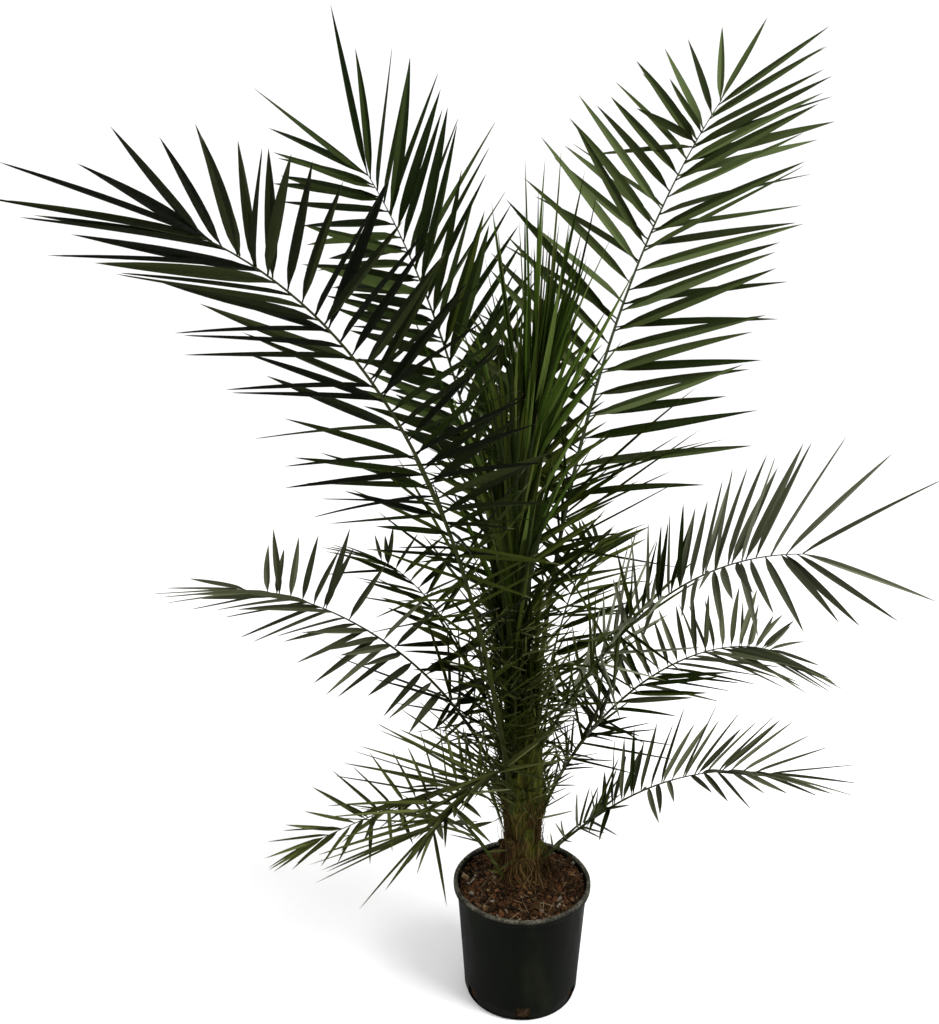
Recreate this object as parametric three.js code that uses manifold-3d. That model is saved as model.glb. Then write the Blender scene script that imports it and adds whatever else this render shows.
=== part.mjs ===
// A young date palm in a round nursery pot. Millimetres, +Z up.
// The origin is the middle of the pot's flat underside.
import * as THREE from "three";
import { mergeVertices } from "three/addons/utils/BufferGeometryUtils.js";
import Module from "manifold-3d";

const wasm = await Module();
wasm.setup();

// Pot
const POT_HEIGHT = 240;
const POT_FOOT_RADIUS = 109;
const POT_NECK_RADIUS = 124; // just under the rim
const FOOT_STEP = { inset: 3, height: 10 }; // the wall steps in just above the floor
const RIM_RADIUS = 130;
const RIM_WIDTH = 8;
const RIM_DROP = 14;
const WALL = 3;
const FLOOR = 4;
const DRAIN_COUNT = 6;
const DRAIN_WIDTH = 26;
const DRAIN_HEIGHT = 28;
const POT_SIDES = 48;

// Soil
const SOIL_EDGE = 228; // height of the soil where it meets the wall
const SOIL_TOP = 272; // height of the mound round the stem
const MOUND = [[98, 232], [74, 243], [54, 264]]; // [radius, height] of the slope between them

// Stem: [height, radius] from its flat foot in the soil to the point that the leaf bases wrap
const STEM_FOOT = 222;
const STEM_PROFILE = [
  [STEM_FOOT, 44], [250, 43], [268, 39], [290, 35], [320, 33], [360, 34], [400, 37],
  [450, 41], [500, 38], [550, 29], [600, 18], [630, 8],
];
const STEM_SIDES = 20;

// Fronds
const GAP = 0.4; // clearance left between neighbouring solids
const STEM_HUG = 36; // distance of a frond's foot from the stem's axis
const SPINE_SHARE = 0.2; // length of the blade's first leaflets against the longest
const SPINE_SPAN = 0.1; // share of the rachis below the leafy part that carries short ones
const STALK_HALF = { width: 9, depth: 6 };
const STALK_TAPER = 0.62; // stalk's end against its foot
const RIB_HALF = { foot: 3.6, tip: 1.2 };
const EDGE_HALF = 0.8;
const POINT_HALF = 3; // half width of the frond's last point
const STALK_SIDES = 10;
const STALK_RING = 60; // distance between a stalk's rings
const BLADE_RING = 65; // distance between a blade's rings
const BLADE_TURNED = [2, 5]; // sides split the other way, so that a blade's two faces fold alike
const LEAF_SHARE = [[0, 0.7], [0.12, 0.92], [0.5, 1]]; // leaflet length along the leafy part
const HOOK_FROM = 0.75; // beyond this share of the leafy part the leaflets close in on the rachis
const CROWDING = 0.75; // near the axis a blade reaches sideways at most this share of its distance from it
const RACHIS_STEPS = 160;

// place: direction round the stem, height of the foot
// arch: angle of rise at the foot, at the tip, how late it bends, length, sideways swing
// turn: roll of the blade at the foot, twist to the tip
// leaf: longest leaflet, share left at the tip, angle to the rachis at the foot and tip, vee
// bare: share of the rachis below the full leaflets
const FRONDS = [
  { name: "tall_left", place: [236, 420], arch: [76, 21, 1.7, 1360, 8],
    turn: [24, 12], leaf: [200, 1.2, 91, 30, 7], bare: 0.44, blades: 2 },
  { name: "tall_right", place: [62, 440], arch: [88, 36, 0.87, 1430, -10],
    turn: [53, -50], leaf: [320, 0.92, 73, 46, 1], bare: 0.36, blades: 2 },
  { name: "tall_rear", place: [106, 460], arch: [80, 37, 0.82, 1270, 17],
    turn: [-61, 3], leaf: [290, 1.5, 55, 44, -5], bare: 0.42, blades: 2 },
  { name: "right_upper", place: [-51, 530], arch: [60, 15, 2.15, 750, 2.5],
    turn: [14, 42], leaf: [138, 1.65, 75, 47, 24], bare: 0.46, blades: 2 },
  { name: "right_middle", place: [31, 350], arch: [71, -25, 0.9, 690, 1],
    turn: [-13, 45], leaf: [158, 1.15, 80, 44, 8], bare: 0.3, blades: 2 },
  { name: "right_low", place: [-18, 290], arch: [50, 4, 1.9, 500, -8],
    turn: [20, -18], leaf: [142, 1.05, 85, 39, 17], bare: 0.32, blades: 2 },
  { name: "left_middle", place: [166, 400], arch: [76, -8, 0.97, 700, -10],
    turn: [-32, 26], leaf: [177, 1, 92, 44, 16], bare: 0.3, blades: 2 },
  { name: "left_low", place: [240, 450], arch: [68, -8, 0.4, 470, -29],
    turn: [-30, -8], leaf: [115, 1, 98, 34, 40], bare: 0.26, blades: 2 },
  { name: "left_front", place: [251, 490], arch: [51, -5, 0.5, 350, -13],
    turn: [0, 11], leaf: [215, 0.95, 86, 32, 29], bare: 0.26, blades: 2 },
  { name: "left_lowest", place: [224, 245], arch: [59, 3, 3, 360, 20],
    turn: [6, 4], leaf: [167, 1.3, 85, 34, 6], bare: 0.45, blades: 2 },
  { name: "rear_right", place: [70, 380], arch: [78, -5, 1, 660, 0],
    turn: [0, 0], leaf: [160, 1, 90, 42, 15], bare: 0.34, blades: 2 },
  { name: "rear_left", place: [125, 380], arch: [78, -5, 1, 640, 0],
    turn: [0, 0], leaf: [160, 1, 90, 42, 15], bare: 0.34, blades: 2 },
  { name: "rear_steep", place: [88, 500], arch: [86, 45, 1.5, 720, 0],
    turn: [0, 0], leaf: [200, 1, 70, 35, 10], bare: 0.36, blades: 2 },
  { name: "inner_open", place: [150, 500], arch: [90, 104, 2, 690, 0],
    turn: [-60, 0], leaf: [300, 0.95, 14, 10, 20], bare: 0.3, blades: 1 },
  { name: "inner_spear", place: [240, 500], arch: [90, 87, 1, 560, 0],
    turn: [55, 0], leaf: [250, 0.9, 12, 9, 10], bare: 0.3, blades: 1 },
];

const rad = THREE.MathUtils.degToRad;
const lerp = THREE.MathUtils.lerp;
const clamp = THREE.MathUtils.clamp;

// Straight-line interpolation through [x, y] rows.
function along(rows, x) {
  const i = rows.findIndex(([at]) => at >= x);
  if (i < 0) return rows.at(-1)[1];
  if (i === 0) return rows[0][1];
  const [x0, y0] = rows[i - 1], [x1, y1] = rows[i];
  return lerp(y0, y1, (x - x0) / (x1 - x0));
}

function solidFrom(geometry) {
  const plain = geometry.clone();
  plain.deleteAttribute("normal");
  plain.deleteAttribute("uv");
  const merged = mergeVertices(plain, 1e-3);
  return new wasm.Manifold(new wasm.Mesh({
    numProp: 3,
    vertProperties: new Float32Array(merged.attributes.position.array),
    triVerts: new Uint32Array(merged.index.array),
  }));
}

function geometryFrom(solid) {
  const { vertProperties, triVerts } = solid.getMesh();
  const geometry = new THREE.BufferGeometry();
  geometry.setAttribute("position", new THREE.BufferAttribute(vertProperties, 3));
  geometry.setIndex(new THREE.BufferAttribute(triVerts, 1));
  geometry.computeVertexNormals();
  return geometry;
}

// The largest body of a solid that a cut may have left in pieces.
function largest(solid) {
  return solid.decompose().reduce((best, body) => (body.volume() > best.volume() ? body : best));
}

// A closed skin over rings of equal point count, each anticlockwise seen from the far end, with
// flat ends. Each quad is split from its first point, or from its second on the turnedSides.
function loft(rings, turnedSides = []) {
  const sides = rings[0].length;
  const points = rings.flat();
  const index = [];
  for (let k = 0; k + 1 < rings.length; k++)
    for (let i = 0; i < sides; i++) {
      const a = k * sides + i, b = k * sides + ((i + 1) % sides);
      if (turnedSides.includes(i)) index.push(a, b, a + sides, b, b + sides, a + sides);
      else index.push(a, b, b + sides, a, b + sides, a + sides);
    }
  const last = (rings.length - 1) * sides;
  for (let i = 1; i + 1 < sides; i++) {
    index.push(0, i + 1, i);
    index.push(last, last + i, last + i + 1);
  }
  const geometry = new THREE.BufferGeometry().setFromPoints(points);
  geometry.setIndex(index);
  return geometry;
}

function lathe(profile, sides) {
  const points = profile.map(([radius, z]) => new THREE.Vector2(radius, z));
  return solidFrom(new THREE.LatheGeometry(points, sides).rotateX(Math.PI / 2));
}

// One frond's rachis and leaflet directions, as functions of u from 0 at the foot to 1 at the tip.
class Frond {
  constructor(row) {
    Object.assign(this, row);
    const [azimuth, foot] = row.place;
    const [rise, fall, bend, length, swing] = row.arch;
    this.length = length;
    this.heading = (u) => rad(azimuth + swing * u);
    this.slope = (u) => rad(rise + (fall - rise) * u ** bend);
    const start = new THREE.Vector3(Math.cos(rad(azimuth)), Math.sin(rad(azimuth)), 0);
    this.points = [start.multiplyScalar(STEM_HUG).setZ(foot)];
    for (let i = 0; i < RACHIS_STEPS; i++) {
      const step = this.frame((i + 0.5) / RACHIS_STEPS).T.multiplyScalar(length / RACHIS_STEPS);
      this.points.push(this.points[i].clone().add(step));
    }
  }

  point(u) {
    const x = clamp(u, 0, 1) * RACHIS_STEPS, i = Math.min(Math.floor(x), RACHIS_STEPS - 1);
    return this.points[i].clone().lerp(this.points[i + 1], x - i);
  }

  // T along the rachis, N to its left and B up out of the blade, after roll and twist.
  frame(u) {
    const a = this.heading(u), e = this.slope(u), r = rad(this.turn[0] + this.turn[1] * u);
    const T = new THREE.Vector3(Math.cos(e) * Math.cos(a), Math.cos(e) * Math.sin(a), Math.sin(e));
    const left = new THREE.Vector3(-Math.sin(a), Math.cos(a), 0);
    const up = T.clone().cross(left);
    const N = left.clone().multiplyScalar(Math.cos(r)).addScaledVector(up, Math.sin(r));
    const B = left.multiplyScalar(-Math.sin(r)).addScaledVector(up, Math.cos(r));
    return { T, N, B };
  }

  // Where the leaflet at u ends, on side +1 or -1, and `grow` further.
  tip(u, side, grow) {
    const [longest, tipShare, open, close, vee] = this.leaf;
    const v = clamp((u - this.bare) / (1 - this.bare), 0, 1);
    const low = clamp((this.bare - u) / SPINE_SPAN, 0, 1);
    const share = along([...LEAF_SHARE, [1, tipShare]], v);
    const hook = Math.max(0, (v - HOOK_FROM) / (1 - HOOK_FROM));
    const angle = rad((open + (close - open) * v) * (1 - 0.5 * hook * hook));
    const { T, N, B } = this.frame(u);
    const from = this.point(u);
    const reach = Math.min(
      longest * lerp(share, SPINE_SHARE, low),
      Math.max((CROWDING * Math.hypot(from.x, from.y)) / Math.sin(angle), longest * SPINE_SHARE),
    ) + grow;
    return from
      .addScaledVector(T, Math.cos(angle) * reach)
      .addScaledVector(N, Math.sin(angle) * Math.cos(rad(vee)) * side * reach)
      .addScaledVector(B, Math.sin(angle) * Math.sin(rad(vee)) * reach);
  }

  ribHalf(u) {
    return lerp(RIB_HALF.foot, RIB_HALF.tip, u);
  }

  // The stalk, from inside the stem up to the share of the rachis where the blade starts.
  stalk(until, grow) {
    const rings = [];
    const count = Math.max(4, Math.ceil((this.length * until) / STALK_RING));
    for (let k = 0; k <= count; k++) {
      const u = (until * k) / count;
      const { N, B } = this.frame(u);
      const taper = lerp(1, STALK_TAPER, k / count);
      rings.push(Array.from({ length: STALK_SIDES }, (_, i) => {
        const t = (2 * Math.PI * i) / STALK_SIDES;
        return this.point(u)
          .addScaledVector(N, Math.cos(t) * (STALK_HALF.width * taper + grow))
          .addScaledVector(B, Math.sin(t) * (STALK_HALF.depth * taper + grow));
      }));
    }
    return solidFrom(loft(rings));
  }

  // The blade between two shares of the rachis: thick at the rib, thin at the outline of the leaflet tips.
  blade(from, to, grow) {
    const start = from + (1.5 * GAP - grow) / this.length;
    const ends = to >= 1, until = ends ? 1 : to + grow / this.length;
    const count = Math.max(4, Math.round(((until - start) * this.length) / BLADE_RING));
    const ring = (at, left, right, B, rib) => [
      [at, rib], [right, EDGE_HALF + grow], [right, -EDGE_HALF - grow],
      [at, -rib], [left, -EDGE_HALF - grow], [left, EDGE_HALF + grow],
    ].map(([p, up]) => p.clone().addScaledVector(B, up));
    const rings = [];
    for (let k = 0; k <= count; k++) {
      const u = lerp(start, until, k / count), rib = this.ribHalf(u) + grow;
      rings.push(ring(this.point(u), this.tip(u, 1, grow), this.tip(u, -1, grow), this.frame(u).B, rib));
    }
    if (ends) {
      const [longest, tipShare] = this.leaf, { T, N, B } = this.frame(1);
      const at = this.point(1).addScaledVector(T, longest * tipShare + grow);
      const [left, right] = [1, -1].map((side) => at.clone().addScaledVector(N, side * POINT_HALF));
      rings.push(ring(at, left, right, B, RIB_HALF.tip + grow));
    }
    return solidFrom(loft(rings, BLADE_TURNED));
  }
}

function makePot() {
  const foot = POT_FOOT_RADIUS - FOOT_STEP.inset, rimFoot = POT_HEIGHT - RIM_DROP;
  const outside = [
    [0, 0], [foot - 4, 0], [foot, 3], [foot, FOOT_STEP.height], [POT_FOOT_RADIUS, FOOT_STEP.height + 3],
    [POT_NECK_RADIUS, rimFoot], [RIM_RADIUS - 1, rimFoot],
    [RIM_RADIUS, rimFoot + 2], [RIM_RADIUS, POT_HEIGHT - 3], [RIM_RADIUS - 3, POT_HEIGHT],
  ];
  const inside = [
    [RIM_RADIUS - RIM_WIDTH + 1, POT_HEIGHT], [RIM_RADIUS - RIM_WIDTH, POT_HEIGHT - 2],
    [POT_NECK_RADIUS - WALL, rimFoot], [foot - WALL + 1, FOOT_STEP.height], [foot - WALL, FLOOR], [0, FLOOR],
  ];
  let pot = lathe([...outside, ...inside], POT_SIDES);
  for (let i = 0; i < DRAIN_COUNT; i++) {
    const hole = new THREE.BoxGeometry(6 * WALL, DRAIN_WIDTH, DRAIN_HEIGHT);
    hole.translate(POT_FOOT_RADIUS, 0, FLOOR + DRAIN_HEIGHT / 2).rotateZ(rad(90 + (360 * i) / DRAIN_COUNT));
    pot = pot.subtract(solidFrom(hole));
  }
  return pot;
}

function makeSoil(cutters) {
  const foot = POT_FOOT_RADIUS - FOOT_STEP.inset - WALL - GAP, neck = POT_NECK_RADIUS - WALL - GAP;
  const soil = lathe([
    [0, FLOOR + GAP], [foot, FLOOR + GAP], [foot + 1, FOOT_STEP.height],
    [neck, POT_HEIGHT - RIM_DROP], [neck, SOIL_EDGE], ...MOUND, [0, SOIL_TOP],
  ], POT_SIDES);
  return cutters.reduce((left, cutter) => left.subtract(cutter), soil);
}

function makeStem(grow) {
  const rows = STEM_PROFILE.map(([z, radius]) => [radius + grow, z]);
  rows[0][1] -= grow;
  rows.at(-1)[1] += grow;
  return lathe([[0, rows[0][1]], ...rows, [0, rows.at(-1)[1]]], STEM_SIDES);
}

const palm = new THREE.Group();
palm.name = "date_palm";
const PLASTIC = { color: 0x1c1f1c, roughness: 0.6, metalness: 0 };
const EARTH = { color: 0x4a2c1c, roughness: 0.95, metalness: 0 };
const FIBRE = { color: 0x4b4a2c, roughness: 0.85, metalness: 0 };
const LEAF = { color: 0x2c4a2a, roughness: 0.55, metalness: 0 };
const RIB = { color: 0x6b7a44, roughness: 0.6, metalness: 0 };

function add(name, solid, look) {
  const mesh = new THREE.Mesh(geometryFrom(solid), new THREE.MeshStandardMaterial(look));
  mesh.name = name;
  palm.add(mesh);
}

const fronds = FRONDS.map((row) => new Frond(row));
const stalkEnd = (frond) => frond.bare - SPINE_SPAN;
const stalkCutters = fronds.map((frond) => frond.stalk(stalkEnd(frond), GAP));

add("pot", makePot(), PLASTIC);
add("soil", makeSoil([makeStem(GAP), ...stalkCutters]), EARTH);
add("stem", makeStem(0), FIBRE);

// Each piece is cut by the grown shape of every piece placed before it, so that neighbours keep a gap.
const placed = [makeStem(GAP)];
function place(name, solid, cutter, look) {
  const box = solid.boundingBox();
  const near = placed.filter((other) => {
    const b = other.boundingBox();
    return [0, 1, 2].every((k) => b.min[k] < box.max[k] && b.max[k] > box.min[k]);
  });
  add(name, largest(near.reduce((left, other) => left.subtract(other), solid)), look);
  placed.push(cutter);
}

fronds.forEach((frond, i) => {
  place(frond.name + "_stalk", frond.stalk(stalkEnd(frond), 0), stalkCutters[i], RIB);
});
for (const frond of fronds) {
  const names = frond.blades > 1 ? ["_blade_lower", "_blade_upper"] : ["_blade"];
  names.forEach((suffix, i) => {
    const [from, to] = [i, i + 1].map((k) => lerp(stalkEnd(frond), 1, k / names.length));
    place(frond.name + suffix, frond.blade(from, to, 0), frond.blade(from, to, GAP), LEAF);
  });
}

export default palm;
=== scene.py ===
"""The looks of a potted young date palm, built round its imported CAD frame.

Metres, +Z up, the foot of the pot at the origin. Each frond gets a rib and separate leaflets along
the same arch as its CAD solids. Stem, soil and pot are meshes of their solids' sizes, in detail.
"""
import math

import bmesh
import bpy
import numpy as np
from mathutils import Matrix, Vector


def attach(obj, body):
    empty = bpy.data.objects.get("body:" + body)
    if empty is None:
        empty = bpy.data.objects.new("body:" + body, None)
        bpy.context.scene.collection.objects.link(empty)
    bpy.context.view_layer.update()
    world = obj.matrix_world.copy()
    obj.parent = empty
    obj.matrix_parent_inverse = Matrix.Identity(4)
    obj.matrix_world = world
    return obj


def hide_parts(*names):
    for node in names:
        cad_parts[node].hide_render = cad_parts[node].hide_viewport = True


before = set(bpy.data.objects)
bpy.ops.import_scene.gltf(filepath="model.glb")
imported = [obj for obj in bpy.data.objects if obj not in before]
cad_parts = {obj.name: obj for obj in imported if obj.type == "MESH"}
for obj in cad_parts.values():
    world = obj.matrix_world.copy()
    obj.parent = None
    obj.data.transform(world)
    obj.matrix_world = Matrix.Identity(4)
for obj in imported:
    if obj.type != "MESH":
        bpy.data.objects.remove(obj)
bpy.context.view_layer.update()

SEED = 20

# ---------------------------------------------------------------- fronds
# Angles are in degrees. Seen from the foot of the rachis, side 1 is its left and -1 its right.
# place: direction round the stem, height of the foot
# arch: rise at the foot, rise at the tip, how late it bends, length, sideways swing
# turn: roll, twist
# leaf: longest leaflet, share left at the tip, angle to the rachis at the foot and tip, vee
# bare: share of the rachis below the full leaflets
# look: leaflet width, spacing of the leaflet groups, share of groups that are pairs, tone, rib
# ends, tips: angles and relative length of the last leaflets
# spiny: number of spines against the usual
# thicket: length that the topmost spines add, against the longest leaflet
# loose: spread of the leaflets' angles
# pressed: extra leaflets held close to the rachis
# below: a thinner side, the share of it kept, and its angle and length against the other side
# absent: leaflet groups, counted from the lowest, that the thinner side lacks
# closing: a side (0 is both), where it begins to close up, and from there on its share kept,
#          and its angle, length and pairs against the usual
# strays: leaflets out of line, as place on the rachis, side, angle to it, angle out of the blade
#         and length against the usual
# blades: how many CAD blades the leaflets stand for
USUAL = dict(ends=(0,), tips=0.97, spiny=1, thicket=0.32, loose=1.5, pressed=0, below=(0, 1, 1, 1),
             absent=(), closing=(0, 1, 1, 1, 1, 1), strays=(), blades=2)
FRONDS = [
    dict(name="tall_left", place=(236, 0.42), arch=(76, 21, 1.7, 1.36, 8), turn=(24, 12),
         leaf=(0.2, 1.2, 91, 30, 7), bare=0.44, look=(0.0155, 0.033, 0.5, "dark", "rib_olive"),
         ends=(-2, -15), tips=1.04, thicket=0.45, below=(-1, 1, 0.8, 1.02), absent=(8, 10, 13, 22),
         closing=(1, 0.84, 1, 1, 0.9, 1),
         strays=((0.985, 1, 4, 0, 1), (0.555, -1, 92, 0, 1.15), (0.52, -1, 98, 0, 1.05))),
    dict(name="tall_right", place=(62, 0.44), arch=(88, 36, 0.87, 1.43, -10), turn=(53, -50),
         leaf=(0.32, 0.92, 73, 46, 1), bare=0.36, look=(0.0215, 0.042, 0.65, "mid", "rib_pale"),
         ends=(3,), thicket=0.45, below=(-1, 1, 0.93, 1), absent=(0, 1, 2, 3, 4),
         strays=((0.375, -1, 71, 0, 1.45), (0.413, -1, 72, 0, 1.3), (0.45, -1, 71, 0, 1.2),
                 (0.9, 1, 106, 0, 0.72), (0.91, 1, 72, 12, 0.55), (0.93, 1, 52, 15, 0.6))),
    dict(name="tall_rear", place=(106, 0.46), arch=(80, 37, 0.82, 1.27, 17), turn=(-61, 3),
         leaf=(0.29, 1.5, 55, 44, -5), bare=0.42, look=(0.025, 0.036, 0.6, "deep", "rib_pale"),
         ends=(16, -17), tips=1.04, closing=(0, 0.8, 1, 1, 0.87, 0.5)),
    dict(name="right_upper", place=(-51, 0.53), arch=(60, 15, 2.15, 0.75, 2.5), turn=(14, 42),
         leaf=(0.138, 1.65, 75, 47, 24), bare=0.46,
         look=(0.0138, 0.0265, 0.55, "silver", "rib_olive"),
         ends=(-15,), tips=0.92, spiny=2, thicket=0.85, below=(-1, 0.65, 1, 1),
         strays=((0.5, 1, 100, 24, 1.15), (0.53, 1, 92, 30, 1.1))),
    dict(name="right_middle", place=(31, 0.35), arch=(71, -25, 0.9, 0.69, 1), turn=(-13, 45),
         leaf=(0.158, 1.15, 80, 44, 8), bare=0.3, look=(0.013, 0.023, 0.5, "grey", "rib_olive"),
         spiny=2, thicket=0.85, below=(-1, 0.7, 0.8, 1.15), strays=((0.9, 1, 42, 0, 0.8),)),
    dict(name="right_low", place=(-18, 0.29), arch=(50, 4, 1.9, 0.5, -8), turn=(20, -18),
         leaf=(0.142, 1.05, 85, 39, 17), bare=0.32, look=(0.0115, 0.021, 0.5, "grey", "rib_olive"),
         ends=(-6, 8), spiny=1.3, below=(-1, 0.4, 1, 1)),
    dict(name="left_middle", place=(166, 0.4), arch=(76, -8, 0.97, 0.7, -10), turn=(-32, 26),
         leaf=(0.177, 1, 92, 44, 16), bare=0.3, look=(0.015, 0.025, 0.45, "grey", "rib_olive"),
         tips=1.04, thicket=0.6, below=(-1, 0.65, 1.3, 0.95), closing=(-1, 0.92, 0.6, 0.4, 1, 0)),
    dict(name="left_low", place=(240, 0.45), arch=(68, -8, 0.4, 0.47, -29), turn=(-30, -8),
         leaf=(0.115, 1, 98, 34, 40), bare=0.26, look=(0.0085, 0.024, 0.4, "olive", "rib_olive"),
         ends=(-5, 0, 5), tips=0.82, spiny=0.5, pressed=18, closing=(0, 0.85, 1, 0.8, 0.86, 1)),
    dict(name="left_front", place=(251, 0.49), arch=(51, -5, 0.5, 0.35, -13), turn=(0, 11),
         leaf=(0.215, 0.95, 86, 32, 29), bare=0.26, look=(0.0105, 0.02, 0.5, "olive", "rib_olive"),
         ends=(40, 0, -32, -50), spiny=0.3, pressed=20, below=(1, 0.1, 1, 1)),
    dict(name="left_lowest", place=(224, 0.245), arch=(59, 3, 3, 0.36, 20), turn=(6, 4),
         leaf=(0.167, 1.3, 85, 34, 6), bare=0.45, look=(0.011, 0.028, 0.3, "olive", "rib_olive"),
         ends=(), spiny=0.4, below=(1, 0.6, 0.8, 0.5)),
    dict(name="rear_right", place=(70, 0.38), arch=(78, -5, 1, 0.66, 0), turn=(0, 0),
         leaf=(0.16, 1, 90, 42, 15), bare=0.34, look=(0.013, 0.028, 0.4, "inner", "rib_olive"),
         spiny=1.9, thicket=0.8, loose=12),
    dict(name="rear_left", place=(125, 0.38), arch=(78, -5, 1, 0.64, 0), turn=(0, 0),
         leaf=(0.16, 1, 90, 42, 15), bare=0.34, look=(0.013, 0.028, 0.4, "inner", "rib_olive"),
         spiny=1.3, thicket=0.8, loose=12),
    dict(name="rear_steep", place=(88, 0.5), arch=(86, 45, 1.5, 0.72, 0), turn=(0, 0),
         leaf=(0.2, 1, 70, 35, 10), bare=0.36, look=(0.013, 0.028, 0.5, "inner", "rib_olive")),
    dict(name="inner_open", place=(150, 0.5), arch=(90, 104, 2, 0.69, 0), turn=(-60, 0),
         leaf=(0.3, 0.95, 14, 10, 20), bare=0.3, look=(0.011, 0.018, 0.4, "fresh", "rib_olive"),
         ends=(0, 5), loose=8, blades=1,
         strays=((0.9, 1, 8, 20, 1.55), (0.8, -1, 9, 20, 1.45), (0.62, 1, 14, 20, 1.45),
                 (0.95, -1, 4, 20, 1.35), (0.7, 1, 20, 20, 1.2))),
    dict(name="inner_spear", place=(240, 0.5), arch=(90, 87, 1, 0.56, 0), turn=(55, 0),
         leaf=(0.25, 0.9, 12, 9, 10), bare=0.3, look=(0.0125, 0.016, 0.4, "inner", "rib_olive"),
         loose=4, blades=1),
]
STEM_HUG = 0.036  # distance of a frond's foot from the stem's axis
STEPS = 160  # straight pieces that a rachis is summed from
HOOK_FROM = 0.75  # beyond this share of the leafy part the leaflets close in on the rachis
HOOK = 0.5  # share of the angle that is lost at the tip
LEAF_SHARE = ((0, 0.7), (0.12, 0.92), (0.5, 1))  # leaflet length along the leafy part
RACHIS_AT = (-0.1, 0.0, 0.08, 0.3, 0.65, 1.0)
RACHIS_HALF_WIDTH = (0.009, 0.0063, 0.0044, 0.0032, 0.0020, 0.0007)  # of a frond 1 m long
RACHIS_HALF_DEPTH = (0.006, 0.0050, 0.0042, 0.0032, 0.0020, 0.0008)


def unit(v):
    return v / np.linalg.norm(v, axis=-1, keepdims=True)


def turned(v, axis, angle):
    """Rows of v turned about rows of axis by angle in radians."""
    c, s = np.cos(angle)[..., None], np.sin(angle)[..., None]
    return v * c + np.cross(axis, v) * s + axis * (v * axis).sum(-1, keepdims=True) * (1 - c)


def circle(sides):
    """The angles of a ring's points."""
    return np.linspace(0, 2 * np.pi, sides, endpoint=False)


def around(angle):
    """The level directions outwards and across at an angle round the axis."""
    zero = 0 * angle
    return (np.stack([np.cos(angle), np.sin(angle), zero], -1),
            np.stack([-np.sin(angle), np.cos(angle), zero], -1))


class Frond:
    """The rachis and its leaflet directions by u, which runs from 0 at the foot to 1 at the tip."""

    def __init__(self, row):
        self.name, self.row = row["name"], {**USUAL, **row}
        self.azimuth, self.foot = row["place"]
        self.rise, self.fall, self.bend, self.length, self.swing = row["arch"]
        self.roll, self.twist = row["turn"]
        self.longest, self.tip_share, self.open, self.close, self.vee = row["leaf"]
        self.width, self.spacing, self.pair, self.tone, self.rib = row["look"]
        self.bare = row["bare"]
        a = math.radians(self.azimuth)
        start = np.array([[STEM_HUG * math.cos(a), STEM_HUG * math.sin(a), self.foot]])
        steps = self.frame((np.arange(STEPS) + 0.5) / STEPS)[0] * (self.length / STEPS)
        self.points = np.vstack([start, start + np.cumsum(steps, 0)])

    def frame(self, u):
        """Directions along the rachis, to its left and up out of the blade."""
        u = np.asarray(u, float)
        e = np.radians(self.rise + (self.fall - self.rise) * np.clip(u, 0, 1) ** self.bend)
        a = np.radians(self.azimuth + self.swing * u)
        r = np.radians(self.roll + self.twist * u)[..., None]
        along = np.stack([np.cos(e) * np.cos(a), np.cos(e) * np.sin(a), np.sin(e)], -1)
        left = around(a)[1]
        up = np.cross(along, left)
        return along, left * np.cos(r) + up * np.sin(r), up * np.cos(r) - left * np.sin(r)

    def point(self, u):
        """Below 0 the rachis runs on straight, into the stem."""
        u = np.asarray(u, float)
        x = np.linspace(0, 1, STEPS + 1)
        p = np.stack([np.interp(u, x, self.points[:, k]) for k in range(3)], -1)
        below = np.minimum(u, 0)[..., None] * self.length
        return p + below * self.frame(np.zeros_like(u))[0]

    def leafy(self, u):
        return np.clip((u - self.bare) / (1 - self.bare), 0, 1)

    def angle(self, u):
        v = self.leafy(u)
        hook = np.maximum(0, (v - HOOK_FROM) / (1 - HOOK_FROM))
        return (self.open + (self.close - self.open) * v) * (1 - HOOK * hook**2)

    def reach(self, u):
        at, share = zip(*LEAF_SHARE, (1, self.tip_share))
        return self.longest * np.interp(self.leafy(u), at, share)

    def half(self, u):
        """Half width and half depth of the rachis."""
        scale = self.length**0.5
        return (np.interp(u, RACHIS_AT, RACHIS_HALF_WIDTH) * scale,
                np.interp(u, RACHIS_AT, RACHIS_HALF_DEPTH) * scale)


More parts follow.
